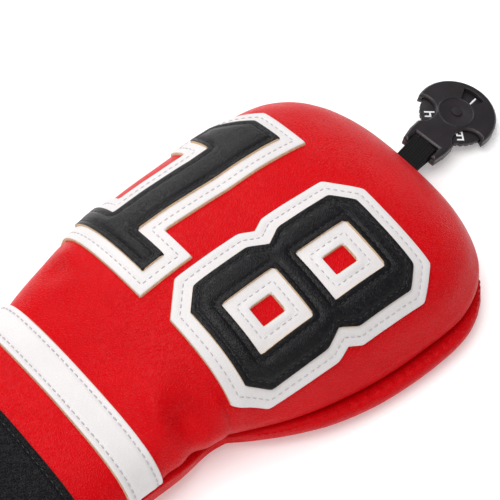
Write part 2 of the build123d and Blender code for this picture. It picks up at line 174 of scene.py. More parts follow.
class CoverForm:
    """The cover's surfaces in millimetres. u is the station from the crown tip, t runs from
    -1 at the left seam over 0 at the middle to +1 at the right seam."""

    crown_length = 52.0
    crown_power = 2.5
    crest_height = 45.0
    crest_length = 90.0
    crest_power = 2.1
    head_seam = 12.0
    nose_length = 30.0
    nose_power = 2.2
    left_waist = 188.0
    right_waist = 152.0
    left_neck = 54.0
    right_neck = 52.0
    neck_crest = 22.5
    neck_seam = 21.0
    neck_lift = 2.4
    start_power = 2.3
    end_power = 0.935
    top_fullness = 0.713
    side_fullness = 0.6
    under_fullness = 0.55
    flat_share = 0.55
    lip_level = 0.45
    lip_width = 6.5
    lip_end = 149.0
    lip_fade = 34.0
    step = 0.02

    # the groove at the seam: its half width, the share that goes down, and how far from the mouth
    # it ends and fades
    groove = 1.5
    groove_down = 0.35
    groove_end = 6.0
    groove_fade = 20.0
    # the right waist, where the seam is drawn in: station, half length, how far in and how far
    # down, and how far from the seam each reaches on the front and on the back
    waist = (159.0, 13.0)
    waist_in, waist_in_reach = 4.4, (5.5, 18.0)
    waist_down, waist_down_reach = 5.0, (6.0, 9.0)
    inner_sink = 5.0

    # the padding beside the seam: distance from the seam, half width, least share at the neck
    swell_place, swell_spread, swell_least = 6.5, 4.5, 0.3
    # unevenness: height, scale, seed
    front_ripples = ((0.5, 27.0, 3.0), (0.15, 9.0, 11.0))
    back_ripple = (0.3, 22.0, 7.0)
    front_fade, back_fade = 14.0, 12.0
    # puckers of the lip: height, pitch, distance from the seam, half width
    pucker = (0.26, 5.4, 3.2, 2.2)
    # the rolled lip: height, distance from the seam, half width
    roll = (0.9, 5.0, 2.6)
    # gathers at the elastic: height, pitch, half length, and the pinch under them with its own
    elastic_station = 168.0
    gathers = (0.7, 7.5, 15.0)
    pinch = (0.9, 11.0)

    # hollows and folds of the front leather: plan x, station, half length sideways, half length
    # lengthwise, turn in degrees, depth
    folds = (
        (45.5, 168.5, 8.0, 7.5, -14.0, 5.4),
        (35.0, 160.0, 8.0, 7.0, 0.0, 1.2),
        (36.0, 177.0, 10.0, 4.5, 26.0, -2.2),
        (48.0, 155.0, 5.0, 4.0, 0.0, -2.4),
        (52.0, 163.5, 3.2, 6.0, 0.0, -2.6),
        (49.5, 183.0, 4.0, 4.5, -20.0, 1.6),
        (51.0, 147.0, 3.0, 4.0, 0.0, -1.3),
        (6.0, 176.0, 9.0, 9.0, 60.0, 0.9),
        (-30.0, 177.0, 9.0, 7.0, -50.0, 1.0),
        (-46.0, 168.0, 7.0, 6.0, 20.0, 1.8),
        (-48.0, 158.0, 6.0, 5.0, 0.0, -1.2),
    )

    def __init__(self, sizes):
        self.head = sizes.head / MM
        self.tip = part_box("sleeve_front")[0].y / MM + sizes.cover / MM
        self.mouth = sizes.cover / MM
        self.tuck = sizes.tuck / MM
        self.bulge = sizes.swell / MM

    def taper(self, u, start, end):
        share = limited((u - start) / (end - start))
        return (1.0 - share**self.start_power) ** self.end_power

    def half_width(self, u, inset, right):
        waist = np.where(right, self.right_waist, self.left_waist)
        neck = np.where(right, self.right_neck, self.left_neck)
        crown = (self.head - inset) * swell(u - inset, self.crown_length - inset, self.crown_power)
        body = neck + (self.head - neck) * self.taper(u, self.crown_length, waist) - inset
        return np.where(u < self.crown_length, crown, body)

    def crest(self, u, inset):
        head = (self.crest_height - inset) * swell(u - inset, self.crest_length - inset, self.crest_power)
        fall = self.crest_height - self.neck_crest
        neck = self.neck_crest + fall * self.taper(u, self.crest_length, self.left_waist) - inset
        return np.where(u < self.crest_length, head, neck)

    def neck_share(self, u):
        return limited((u - self.crest_length) / (self.left_waist - self.crest_length))

    def seam_height(self, u):
        return self.head_seam + (self.neck_seam - self.head_seam) * self.neck_share(u)

    def depth(self, u, inset):
        full = self.seam_height(u) - self.neck_lift * self.neck_share(u) - inset
        return full * swell(u - inset, self.nose_length - inset, self.nose_power)

    def lip(self, u):
        share = limited((u - 1.2) / (self.right_waist - 1.2))
        fade = limited((self.lip_end - u) / self.lip_fade) ** 0.6
        return self.lip_width * limited(np.sin(np.pi * share)) ** 0.7 * fade

    def plain_front(self, u, t, inset=0.0):
        """The front without its relief."""
        q = 1.0 - np.abs(t)
        width = self.half_width(u, inset, t > 0)
        x = np.sign(t) * width * bezier(q, 1, 1, self.top_fullness, 0)
        z = self.crest(u, inset) * bezier(q, 0, self.top_fullness, 1, 1)
        return np.stack([x, self.tip - u + 0 * x, self.seam_height(u) + z], -1)

    def plain_back(self, u, t, inset=0.0):
        """The back without its relief: out over the lip, then under to the flat."""
        q = 3.0 * (1.0 - np.abs(t))
        side_share, under_share, flat_share = (limited(q - part) for part in range(3))
        width = self.half_width(u, inset, t > 0)
        lip = self.lip(u)
        out = width + lip
        drop = self.depth(u, inset)
        seam = self.seam_height(u)
        level, floor = seam - self.lip_level * drop, seam - drop
        flat = self.flat_share * width
        corner = flat + (out - flat) * (1 - self.under_fullness)
        side_x = bezier(side_share, width, width + self.side_fullness * lip, out, out)
        side_z = bezier(side_share, seam, seam, level + self.side_fullness * (seam - level), level)
        under_x = bezier(under_share, out, out, corner, flat)
        under_z = bezier(under_share, level, level - self.under_fullness * (level - floor), floor, floor)
        x = np.where(q < 1, side_x, np.where(q < 2, under_x, flat * (1 - flat_share)))
        z = np.where(q < 1, side_z, np.where(q < 2, under_z, floor))
        return np.stack([np.sign(t) * x, self.tip - u + 0 * x, z], -1)

    def normal(self, surface, u, t, back):
        """Unit outward normal of a surface by small steps."""
        du = surface(u + self.step, t) - surface(u - self.step, t)
        low, high = (np.clip(t + sign * self.step * 0.1, -1, 1) for sign in (-1, 1))
        return unit(np.cross(surface(u, high) - surface(u, low), du) * (1.0 if back else -1.0))

    def patch(self, x, u, shape):
        """One dent or ridge, as a share of its depth."""
        cx, cu, half_x, half_u, turn, depth = shape
        c, s = math.cos(math.radians(turn)), math.sin(math.radians(turn))
        across = (x - cx) * c + (u - cu) * s
        along = -(x - cx) * s + (u - cu) * c
        return depth * np.exp(-((across / half_x) ** 2) - (along / half_u) ** 2)

    def ripple(self, place, scale, seed):
        """Smooth unevenness from -1 to 1 at a scale in millimetres."""
        flat = place.reshape(-1, 3) / scale + seed
        values = [noise(Vector(point)) for point in flat]
        return np.array(values).reshape(place.shape[:-1])

    def seam_distance(self, place, u, t, back):
        """Distance of the plain leather from the side seam, near the seam."""
        rise = place[..., 2] - self.seam_height(u)
        if not back:
            return np.maximum(rise, 0.0)
        out = np.abs(place[..., 0]) - self.half_width(u, 0.0, t > 0)
        return np.minimum(np.hypot(out, rise), np.hypot(u, rise))

    def inward(self, u, t):
        """Plan direction from the seam into the cover."""
        slope = (self.half_width(u + 0.05, 0.0, t > 0) - self.half_width(u - 0.05, 0.0, t > 0)) * 10.0
        size = np.hypot(1.0, slope)
        return np.stack([-np.where(t < 0, -1.0, 1.0) / size, -slope / size, 0.0 * u], -1)

    def front_relief(self, place, u, s):
        """How far the front leather stands out from its plain shape."""
        fade = limited(u / self.front_fade)
        share = self.swell_least + (1.0 - self.swell_least) * (1.0 - self.neck_share(u))
        out = self.bulge * hump(s, self.swell_place, self.swell_spread) * fade * share
        for shape in self.folds:
            out = out - self.patch(place[..., 0], u, shape)
        for height, scale, seed in self.front_ripples:
            out = out + height * self.ripple(place, scale, seed) * fade
        return out

    def back_relief(self, place, u, s):
        """How far the back leather stands out: puckers by the seam, gathers at the elastic."""
        fade = limited(u / self.back_fade)
        lip_share = self.lip(u) / self.lip_width
        height, pitch, *where = self.pucker
        wave = np.sin(u * 2 * np.pi / pitch + 1.5 * np.sin(u / 9.0))
        out = height * wave * hump(s, *where) * fade * lip_share
        height, *where = self.roll
        out = out + height * hump(s, *where) * fade * lip_share
        away = limited((s - 4.0) / 12.0)
        height, pitch, spread = self.gathers
        wave = np.sin(place[..., 0] * 2 * np.pi / pitch + 1.2 * np.sin(u / 11.0))
        gathered = height * wave * hump(u, self.elastic_station, spread)
        depth, spread = self.pinch
        out = out + (gathered - depth * hump(u, self.elastic_station, spread)) * away
        height, scale, seed = self.back_ripple
        return out + height * self.ripple(place, scale, seed) * fade

    def surface(self, u, t, lift=0.0, back=False, inset=0.0):
        """Points of the front or back leather, lifted along its normal or let in."""
        u, t = np.broadcast_arrays(np.asarray(u, float), np.asarray(t, float))
        plain = self.plain_back if back else self.plain_front
        outer = plain(u, t)
        s = self.seam_distance(outer, u, t, back)
        relief = self.back_relief(outer, u, s) if back else self.front_relief(outer, u, s)
        start = plain(u, t, inset) if inset else outer
        place = start + self.normal(plain, u, t, back) * (relief + lift)[..., None]
        open_share = np.clip((self.mouth - self.groove_end - u) / self.groove_fade, 0.25, 1.0)
        pull = hump(s, 0.0, self.groove) * open_share
        place = place + self.inward(u, t) * (self.tuck * pull)[..., None]
        place[..., 2] -= self.groove_down * self.tuck * pull
        waist = hump(u, *self.waist) * (t > 0)
        place[..., 0] -= self.waist_in * waist * hump(s, 0.0, self.waist_in_reach[back])
        place[..., 2] -= self.waist_down * waist * hump(s, 0.0, self.waist_down_reach[back])
        if back:
            place[..., 2] -= inset * hump(s, 0.0, self.inner_sink)
            place[..., 2] = np.maximum(place[..., 2], max(inset, 0.0))
        return place

    def normals(self, u, t, back=False):
        """Normals of the finished leather."""
        u, t = np.broadcast_arrays(np.asarray(u, float), np.asarray(t, float))
        return self.normal(lambda a, b: self.surface(a, b, back=back), u, t, back)


class FrontMap:
    """Turns places measured along the front leather into stations and turns."""

    origin = 180.0
    last = 215.0
    columns = 161

    def __init__(self, form):
        self.form = form
        self.u = np.linspace(0.4, self.last, 260)
        self.t = np.linspace(-1.0, 1.0, self.columns)
        grid = form.plain_front(self.u[:, None], self.t[None, :])
        middle = self.columns // 2
        arcs = np.array([travelled(row) for row in grid])
        self.arcs = arcs - arcs[:, [middle]]
        up = travelled(grid[:, middle])
        self.up = np.interp(self.origin, self.u, up) - up

    def locate(self, flat):
        """Stations and turns of an array of (across, up) places."""
        flat = np.asarray(flat, float)
        u = np.interp(-flat[:, 1], -self.up, self.u)
        row = np.clip(np.searchsorted(self.u, u) - 1, 0, len(self.u) - 2)
        share = (u - self.u[row]) / (self.u[row + 1] - self.u[row])
        low, high = (
            np.array([np.interp(a, self.arcs[r], self.t) for a, r in zip(flat[:, 0], rows)])
            for rows in (row, row + 1)
        )
        return u, low + (high - low) * share

    def place(self, flat, lift):
        u, t = self.locate(flat)
        return self.form.surface(u, t, lift)


# ---------------------------------------------------------------- mesh helpers


def new_piece(name, points, faces, materials, body, face_slots=None, uvs=None, sharp=35.0):
    """A mesh piece from points in millimetres, riding on a body."""
    mesh = bpy.data.meshes.new(name)
    mesh.from_pydata((np.asarray(points).reshape(-1, 3) * MM).tolist(), [], faces)
    mesh.validate()
    for material in materials:
        mesh.materials.append(material)
    if face_slots is not None:
        mesh.polygons.foreach_set("material_index", face_slots)
    shell = bmesh.new()
    shell.from_mesh(mesh)
    bmesh.ops.recalc_face_normals(shell, faces=shell.faces)
    shell.to_mesh(mesh)
    shell.free()
    mesh.shade_smooth()
    mesh.set_sharp_from_angle(angle=math.radians(sharp))
    piece = bpy.data.objects.new(name, mesh)
    bpy.context.collection.objects.link(piece)
    if uvs is not None:
        layer = mesh.uv_layers.new(name="cloth")
        corner_points = np.empty(len(mesh.loops), dtype=np.int32)
        mesh.loops.foreach_get("vertex_index", corner_points)
        layer.data.foreach_set("uv", np.asarray(uvs, dtype=np.float32)[corner_points].ravel())
    if body:
        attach(piece, body)
    return piece


def slab(name, outer, inner, materials, body, uvs=None, raw_rows=0):
    """A closed sheet between two grids of points. Its rim, and the first and last raw_rows of the
    outer side, show the last material."""
    rows, cols = outer.shape[:2]
    count = rows * cols
    index = np.arange(count).reshape(rows, cols)
    skin = np.stack([index[:-1, :-1], index[1:, :-1], index[1:, 1:], index[:-1, 1:]], -1).reshape(-1, 4)
    edge = len(materials) - 1
    raw = np.zeros((rows - 1, cols - 1), int)
    raw[:raw_rows] = edge
    raw[rows - 1 - raw_rows :] = edge
    border = np.concatenate([index[0], index[1:, -1], index[-1, -2::-1], index[-2:0:-1, 0]])
    after = np.roll(border, -1)
    rim = np.stack([border, after, after + count, border + count], -1)
    faces = np.concatenate([skin, skin[:, ::-1] + count, rim]).tolist()
    slots = np.concatenate([raw.ravel(), np.zeros(len(skin), int), np.full(len(rim), edge)])
    points = np.concatenate([outer.reshape(-1, 3), inner.reshape(-1, 3)])
    if uvs is not None:
        uvs = np.tile(uvs.reshape(-1, 2), (2, 1))
    return new_piece(name, points, faces, materials, body, slots.tolist(), uvs)


def cloth_map(lengthwise, across):
    """Map of a grid of tape in metres, from its distances in millimetres."""
    return np.stack(np.broadcast_arrays(lengthwise[:, None] * MM, across[None, :] * MM), -1)


def stitch_shapes(paths, pitch, length, radius):
    """Points and faces of a row of stitches along each (points, normals) path."""
    along = np.array([-0.5, -0.34, 0.0, 0.34, 0.5]) * length
    rise = np.array([-0.9, 0.35, 0.75, 0.35, -0.9]) * radius
    girth = np.array([0.45, 0.95, 1.0, 0.95, 0.45]) * radius
    rings, sides = len(along), 6
    turn = np.arange(sides) * 2 * np.pi / sides
    shapes = []
    for points, normals in paths:
        arc = travelled(points)
        count = max(1, int(round(arc[-1] / pitch)))
        at = ((np.arange(count) + 0.5) * arc[-1] / count)[:, None] + along
        place, normal = (
            np.stack([np.interp(at, arc, values[:, k]) for k in range(3)], -1)
            for values in (points, normals)
        )
        forward, normal = unit(place[:, [-1]] - place[:, [0]]), unit(normal)
        sideways = np.cross(forward, normal)[:, :, None, :] * np.cos(turn)[:, None]
        upward = normal[:, :, None, :] * np.sin(turn)[:, None]
        core = place + normal * rise[:, None]
        shapes.append((core[:, :, None, :] + (sideways + upward) * girth[:, None, None]).reshape(-1, 3))
    points = np.concatenate(shapes)
    faces = []
    for start in range(0, len(points), rings * sides):
        for ring in range(start, start + (rings - 1) * sides, sides):
            for k in range(sides):
                a, b = ring + k, ring + (k + 1) % sides
                faces.append((a, b, b + sides, a + sides))
        faces.append(tuple(start + k for k in reversed(range(sides))))
        faces.append(tuple(start + (rings - 1) * sides + k for k in range(sides)))
    return points, faces


def stitch_piece(name, paths, thread, pitch=3.2, length=2.2, radius=0.26):
    """Rows of stitches on the cover as one piece."""
    points, faces = stitch_shapes(paths, pitch, length, radius)
    return new_piece(name, points, faces, [thread], "cover", sharp=80.0)


# ---------------------------------------------------------------- outlines of the numerals


def grown(points, margin):
    """The outline moved out by a margin, with mitred corners (anticlockwise outlines)."""
    points = np.asarray(points, float)
    before, after = points - np.roll(points, 1, axis=0), np.roll(points, -1, axis=0) - points
    first, second = (unit(np.stack([side[:, 1], -side[:, 0]], -1)) for side in (before, after))
    return points + (first + second) * (margin / (1 + (first * second).sum(1, keepdims=True)))


def sides_of(outline):
    """Start and end of each side of a closed outline."""
    return zip(outline, np.roll(outline, -1, axis=0))


def divided(points, step, corner=0.0):
    """The closed outline with its corners eased and its sides divided."""
    points = np.asarray(points, float)
    if corner:
        eased_corners = []
        for k, point in enumerate(points):
            for other in (points[k - 1], points[(k + 1) % len(points)]):
                away = other - point
                eased_corners.append(point + away / np.linalg.norm(away) * corner)
        points = np.array(eased_corners)
    result = []
    for start, end in sides_of(points):
        parts = max(1, int(round(np.linalg.norm(end - start) / step)))
        result += [start + (end - start) * part / parts for part in range(parts)]
    return np.array(result)


def edge_distance(places, outlines):
    """Distance from each place to the nearest side of any outline."""
    best = np.full(len(places), 1e9)
    for outline in outlines:
        for start, end in sides_of(outline):
            side = end - start
            share = limited(((places - start) @ side) / (side @ side))
            best = np.minimum(best, np.linalg.norm(places - start - share[:, None] * side, axis=1))
    return best


def inside(places, outline, holes=()):
    """Which places lie inside an outline and outside its holes."""
    result = np.zeros(len(places), bool)
    for start, end in sides_of(outline):
        crosses = (start[1] > places[:, 1]) != (end[1] > places[:, 1])
        slope = (end[0] - start[0]) * (places[:, 1] - start[1]) / ((end[1] - start[1]) or 1.0)
        result ^= crosses & (places[:, 0] < slope + start[0])
    for hole in holes:
        result &= ~inside(places, hole)
    return result


def applique(name, cover, outline, holes, loops, top, bottom, raw, materials, slot):
    """One layer of a numeral: a flat shape laid on the leather. top and bottom give its heights
    at a distance from its edge, and its slanting cut edge, raw wide, shows the last material."""
    border_step, loop_step, spacing, thinnest = 1.4, 1.6, 2.2, 0.05
    outline = grown(outline, raw)
    holes = [grown(hole, -raw) for hole in holes]
    loops = [raw] + [raw + loop for loop in loops]
    border = [divided(outline, border_step, 0.5)] + [divided(hole, border_step, 0.4) for hole in holes]
    rings = list(border)
    for loop in loops:
        shapes = [grown(outline, -loop)] + [grown(hole, loop) for hole in holes]
        rings += [divided(shape, loop_step) for shape in shapes]
    xs, ys = (np.arange(low, high, spacing) for low, high in zip(outline.min(0), outline.max(0)))
    grid = np.stack(np.meshgrid(xs, ys), -1).reshape(-1, 2)
    grid = grid[inside(grid, outline, holes)]
    grid = grid[edge_distance(grid, [outline] + holes) > loops[-1] + spacing * 0.45]
    verts = [Vector(point) for ring in rings + [grid] for point in ring]
    edges = []
    start = 0
    for ring in rings:
        edges += [(start + k, start + (k + 1) % len(ring)) for k in range(len(ring))]
        start += len(ring)
    flat, _, tris, _, _, _ = delaunay_2d_cdt(verts, edges, [], 0, 1e-5)
    flat = np.array([tuple(point) for point in flat])
    tris = np.array([tuple(face) for face in tris])
    tris = tris[inside(flat[tris].mean(1), border[0], border[1:])]
    distance = edge_distance(flat, border)
    low = bottom(distance - raw)
    high = np.maximum(top(distance - raw), low)
    share = limited(distance / raw)
    over = cover.place(flat, low + thinnest + (high - low - thinnest) * share)
    under = cover.place(flat, low)
    count, edge = len(flat), len(materials) - 1
    faces = [tuple(int(v) for v in tri) for tri in tris]
    pairs = {(face[k], face[(k + 1) % 3]) for face in faces for k in range(3)}
    rim = sorted(pair for pair in pairs if (pair[1], pair[0]) not in pairs)
    below = [tuple(count + v for v in reversed(face)) for face in faces]
    walls = [(b, a, count + a, count + b) for a, b in rim]
    slots = np.where(distance[tris].mean(1) < raw * 0.8, edge, 0).tolist()
    slots += [0] * len(below) + [edge] * len(walls)
    points = np.concatenate([over, under])
    return new_piece(name, points, faces + below + walls, materials, "cover", slots, sharp=50.0)


def rows_on(cover, outline, holes, lift):
    """Stitch paths along each side of an outline and its holes, laid on the leather."""
    step = 0.8
    paths = []
    for shape in [outline, *holes]:
        for start, end in sides_of(shape):
            parts = max(2, int(np.linalg.norm(end - start) / step))
            u, t = cover.locate(start + (end - start) * np.linspace(0, 1, parts + 1)[:, None])
            paths.append((cover.form.surface(u, t, lift), cover.form.normals(u, t)))
    return paths


# ---------------------------------------------------------------- node groups


class Wiring:
    """Adds nodes to a tree and joins them."""

    def __init__(self, tree):
        self.tree = tree

    def add(self, kind, sockets=(), **settings):
        """A node with its settings, and its inputs set to constants or joined to outputs."""
        node = self.tree.nodes.new(kind)
        for name, value in settings.items():
            setattr(node, name, value)
        for name, value in dict(sockets).items():
            if isinstance(value, bpy.types.NodeSocket):
                self.tree.links.new(value, node.inputs[name])
            else:
                node.inputs[name].default_value = value
        return node

    def math(self, operation, first, second=0.0):
        return self.add("ShaderNodeMath", {0: first, 1: second}, operation=operation).outputs[0]

    def product(self, first, second):
        return self.math("MULTIPLY", first, second)

    def ramp(self, value, low, high, out_low=0.0, out_high=1.0, smooth=False):
        kind = "SMOOTHSTEP" if smooth else "LINEAR"
        sockets = {0: value, 1: low, 2: high, 3: out_low, 4: out_high}
        return self.add("ShaderNodeMapRange", sockets, interpolation_type=kind).outputs[0]

    def mix(self, factor, first, second):
        """A mix of two colours."""
        sockets = {0: factor, 6: (*first, 1.0) if isinstance(first, tuple) else first, 7: (*second, 1.0)}
        return self.add("ShaderNodeMix", sockets, data_type="RGBA").outputs[2]

    def place(self):
        """Coordinates fixed to the piece, in metres."""
        return self.add("ShaderNodeTexCoord").outputs["Object"]

    def noise(self, place, scale, detail=2.0, rough=0.5, output="Fac"):
        sockets = {"Vector": place, "Scale": scale, "Detail": detail, "Roughness": rough}
        return self.add("ShaderNodeTexNoise", sockets).outputs[output]

    def cells(self, place, scale, feature="F1"):
        sockets = {"Vector": place, "Scale": scale}
        return self.add("ShaderNodeTexVoronoi", sockets, feature=feature).outputs["Distance"]

    def join(self, inputs, **values):
        """Joins each value to the input of its name."""
        for name, value in values.items():
            self.tree.links.new(value, inputs[name])


def new_group(name, inputs, outputs):
    """A node group with float inputs and outputs. Gives its wiring, input node and output node."""
    tree = bpy.data.node_groups.new(name, "ShaderNodeTree")
    for label, value in inputs.items():
        socket = tree.interface.new_socket(name=label, in_out="INPUT", socket_type="NodeSocketFloat")
        socket.default_value = value
    for label in outputs:
        tree.interface.new_socket(name=label, in_out="OUTPUT", socket_type="NodeSocketFloat")
    wiring = Wiring(tree)
    return wiring, wiring.add("NodeGroupInput").outputs, wiring.add("NodeGroupOutput").inputs


def pebble_group(name):
    """Embossed leather grain: rounded cells of uneven size, with soft wear, slow tone and painted shade in
    the creases.
    """
    w, given, out = new_group(
        name, {"Cells per metre": 950.0, "Evenness": 0.5}, ("Height", "Crease", "Tone", "Wear")
    )
    place = w.place()
    wobble = w.noise(place, 420.0, output="Color")
    shift = w.add("ShaderNodeVectorMath", {0: wobble, 1: (0.5, 0.5, 0.5)}, operation="SUBTRACT").outputs[0]
    scaled = w.add("ShaderNodeVectorMath", {0: shift, "Scale": 0.0011}, operation="SCALE").outputs[0]
    moved = w.add("ShaderNodeVectorMath", {0: place, 1: scaled}, operation="ADD").outputs[0]
    edges = w.cells(moved, given["Cells per metre"], "DISTANCE_TO_EDGE")
    # painted shade: the creases between the cells make a mask that darkens the leather's colour
    crease = w.ramp(edges, 0.0, 0.22, 1.0, 0.0, smooth=True)
    dome = w.ramp(edges, 0.0, 0.45, smooth=True)
    fine = w.noise(place, 2600.0)
    uneven = w.noise(place, 260.0, 1.0)
    soft = w.product(dome, w.ramp(uneven, 0.3, 0.7, given["Evenness"], 1.0))
    w.join(
        out,
        Height=w.math("ADD", soft, w.product(fine, 0.18)),
        Crease=w.product(crease, w.ramp(uneven, 0.3, 0.7, 0.8, 1.0)),
        Tone=w.ramp(w.noise(place, 28.0, 3.0), 0.32, 0.68),
        Wear=w.ramp(w.noise(place, 75.0, 4.0, 0.62), 0.45, 0.75),
    )
    return w.tree


def fibre_group(name):
    """The fuzzy cut edge of backed leather."""
    w, given, out = new_group(name, {"Fibres per metre": 2600.0}, ("Height", "Tone"))
    place = w.place()
    fuzz = w.noise(place, given["Fibres per metre"], 4.0, 0.7)
    w.join(out, Height=fuzz, Tone=w.ramp(w.noise(place, 800.0, 3.0, 0.6), 0.3, 0.7))
    return w.tree


def weave_group(name):
    """Woven tape: slanted picks in columns, from the piece's own lengthwise map, with painted shade in the
    gaps between the picks.
    """
    w, given, out = new_group(
        name, {"Columns per metre": 950.0, "Picks per metre": 800.0, "Slant": 0.5}, ("Height", "Tone")
    )

    def ridges(turns_along):
        return w.math("ABSOLUTE", w.math("SINE", w.product(turns_along, math.pi)))

    cloth = w.add("ShaderNodeUVMap", uv_map="cloth").outputs["UV"]
    parts = w.add("ShaderNodeSeparateXYZ", {0: cloth}).outputs
    column = w.product(parts[1], given["Columns per metre"])
    pick = w.product(parts[0], given["Picks per metre"])
    slanted = w.math("ADD", pick, w.product(w.math("PINGPONG", column, 1.0), given["Slant"]))
    bulge = w.math("POWER", w.product(ridges(column), ridges(slanted)), 0.5)
    loose = w.noise(w.place(), 900.0, 3.0)
    w.join(
        out,
        Height=w.math("ADD", bulge, w.product(loose, 0.25)),
        # painted shade: the tone follows the woven ridges, so the gaps between the picks are painted darker
        Tone=w.product(bulge, w.ramp(loose, 0.3, 0.7, 0.6, 1.0)),
    )
    return w.tree


def pile_group(name):
    """Brushed pile or open foam."""
    w, given, out = new_group(name, {"Tufts per metre": 700.0}, ("Height", "Tone"))
    place = w.place()
    tufts = w.cells(place, given["Tufts per metre"])
    w.join(
        out,
        Height=w.math("SUBTRACT", w.noise(place, 1500.0, 3.0, 0.7), tufts),
        Tone=w.ramp(w.noise(place, 60.0, 4.0, 0.6), 0.3, 0.7),
    )
    return w.tree


def moulded_group(name):
    """Spark-textured plastic with faint handling marks."""
    w, given, out = new_group(name, {"Specks per metre": 3800.0}, ("Height", "Tone", "Handling"))
    place = w.place()
    w.join(
        out,
        Height=w.noise(place, given["Specks per metre"], 2.0, 0.6),
        Tone=w.ramp(w.noise(place, 120.0, 3.0), 0.3, 0.7),
        Handling=w.ramp(w.noise(place, 420.0, 5.0, 0.7), 0.42, 0.72),
    )
    return w.tree


EFFECTS = {
    "Pebbled leather": pebble_group,
    "Cut fibres": fibre_group,
    "Woven tape": weave_group,
    "Brushed pile": pile_group,
    "Moulded satin": moulded_group,
}


# ---------------------------------------------------------------- finishes


def finish(name, effect, inputs, dark, light, rough, depth, crease=None, **principled):
    """A finish whose colour, roughness and bump vary by a node group."""
    material = bpy.data.materials.get(name)
    if material:
        return material
    material = bpy.data.materials.new(name)
    material.use_nodes = True
    tree = material.node_tree
    tree.nodes.clear()
    w = Wiring(tree)
    group = bpy.data.node_groups.get(effect) or EFFECTS[effect](effect)
    marks = w.add("ShaderNodeGroup", inputs, node_tree=group).outputs
    base = w.mix(marks["Tone"], dark, light)
    # painted shade: the grain's creases are darkened in the base colour
    if crease:
        base = w.mix(w.product(marks["Crease"], crease[0]), base, crease[1])
    varied = next(marks[label] for label in ("Wear", "Handling", "Tone") if label in marks)
    bump = w.add("ShaderNodeBump", {"Height": marks["Height"], "Strength": 1.0, "Distance": depth})
    shader = w.add("ShaderNodeBsdfPrincipled", {"Normal": bump.outputs[0]})
    w.join(shader.inputs, **{"Base Color": base, "Roughness": w.ramp(varied, 0.0, 1.0, *rough)})
    for label, value in principled.items():
        shader.inputs[label.replace("_", " ")].default_value = value
    output = w.add("ShaderNodeOutputMaterial")
    w.join(output.inputs, Surface=shader.outputs[0])
    return material


def shade(value, factor):
    """A colour made darker or lighter."""
    return tuple(min(1.0, part * factor) for part in value)


def leather_finish(name, base, cells, rough, depth, crease_shade_share, sheen):
    """A pebbled leather with painted shade darkening its creases."""
    inputs = {"Cells per metre": cells, "Evenness": 0.75}
    crease = (crease_shade_share, shade(base, 0.45))
    tones = (shade(base, 0.95), shade(base, 1.03))
    return finish(name, "Pebbled leather", inputs, *tones, rough, depth, crease, Specular_IOR_Level=sheen)


class Finishes:
    """Every finish of the cover, made from its colours."""

    def __init__(self, colours):
        names = ("red", "black", "white", "edge", "tag", "thread")
        red, black, white, edge, tag, thread = (tuple(getattr(colours, name)) for name in names)
        # cells per metre, roughness, depth of the grain, darkness of the painted shade in its creases,
        # specular level
        self.red = leather_finish("red leather", red, 1000.0, (0.34, 0.42), 0.00022, 0.35, 0.10)
        self.black = leather_finish("black leather", black, 900.0, (0.38, 0.46), 0.00034, 0.5, 0.12)
        self.smooth = leather_finish("smooth black leather", black, 1150.0, (0.30, 0.38), 0.00016, 0.4, 0.22)
        self.white = leather_finish("white leather", white, 1500.0, (0.42, 0.54), 0.00005, 0.15, 0.35)

        def shaded(base, low, high):
            return shade(base, low), shade(base, high)

        def grey(low, high):
            return (low,) * 3, (high,) * 3

        # effect, its values, dark and light tones, roughness, depth of the bump, shader values
        fibre, weave, pile, satin = "Cut fibres", "Woven tape", "Brushed pile", "Moulded satin"
        tape = {"Columns per metre": 1300.0, "Picks per metre": 1500.0}
        strap = {"Columns per metre": 800.0, "Picks per metre": 900.0}
        fuzzy = {"Sheen_Weight": 0.6, "Sheen_Roughness": 0.4}
        table = {
            "cut edge": (fibre, {}, shaded(edge, 0.78, 1.12), (0.85, 0.95), 0.0004, {}),
            "dark cut edge": (fibre, {}, shaded(red, 0.3, 0.55), (0.85, 0.95), 0.0004, {}),
            "black cut edge": (
                fibre, {}, ((0.012, 0.011, 0.012), (0.035, 0.033, 0.034)), (0.8, 0.9), 0.0003, {}
            ),
            "open foam": (pile, {}, ((0.62, 0.58, 0.50), (0.74, 0.70, 0.62)), (0.9, 1.0), 0.0004, {}),
            "plush lining": (
                pile, {"Tufts per metre": 900.0}, ((0.010, 0.010, 0.012), (0.028, 0.027, 0.030)),
                (0.85, 0.95), 0.0008, fuzzy,
            ),
            "waist elastic": (weave, {}, grey(0.01, 0.03), (0.7, 0.85), 0.0003, {}),
            "binding tape": (
                weave, tape, ((0.004, 0.004, 0.0045), (0.016, 0.016, 0.017)), (0.65, 0.8), 0.0003,
                {"Specular_IOR_Level": 0.25},
            ),
            "strap webbing": (
                weave, strap, ((0.002, 0.002, 0.002), (0.010, 0.0095, 0.010)), (0.6, 0.75), 0.00035,
                {"Specular_IOR_Level": 0.2},
            ),
            "tag plastic": (satin, {}, shaded(tag, 0.85, 1.15), (0.33, 0.42), 0.00003, {}),
            "dial plastic": (satin, {}, shaded(tag, 0.7, 1.0), (0.38, 0.48), 0.00003, {}),
            "dial print": (satin, {}, ((0.78, 0.78, 0.80), (0.88, 0.88, 0.90)), (0.4, 0.5), 0.00001, {}),
            # painted shade: this thread's grey stands for the shade the stitches sit in
            "pale thread": (fibre, {}, shaded(thread, 0.85, 1.15), (0.55, 0.7), 0.0001, {}),
            "black thread": (
                fibre, {}, ((0.004, 0.004, 0.005), (0.014, 0.014, 0.015)), (0.4, 0.55), 0.0001,
                {"Specular_IOR_Level": 0.6},
            ),
            "red thread": (
                fibre, {}, shaded(red, 0.62, 0.9), (0.5, 0.65), 0.0001, {"Specular_IOR_Level": 0.15}
            ),
        }
        for name, (effect, inputs, tones, rough, depth, shader) in table.items():
            made = finish(name, effect, inputs, *tones, rough, depth, **shader)
            setattr(self, name.replace(" ", "_"), made)


# ---------------------------------------------------------------- the pieces


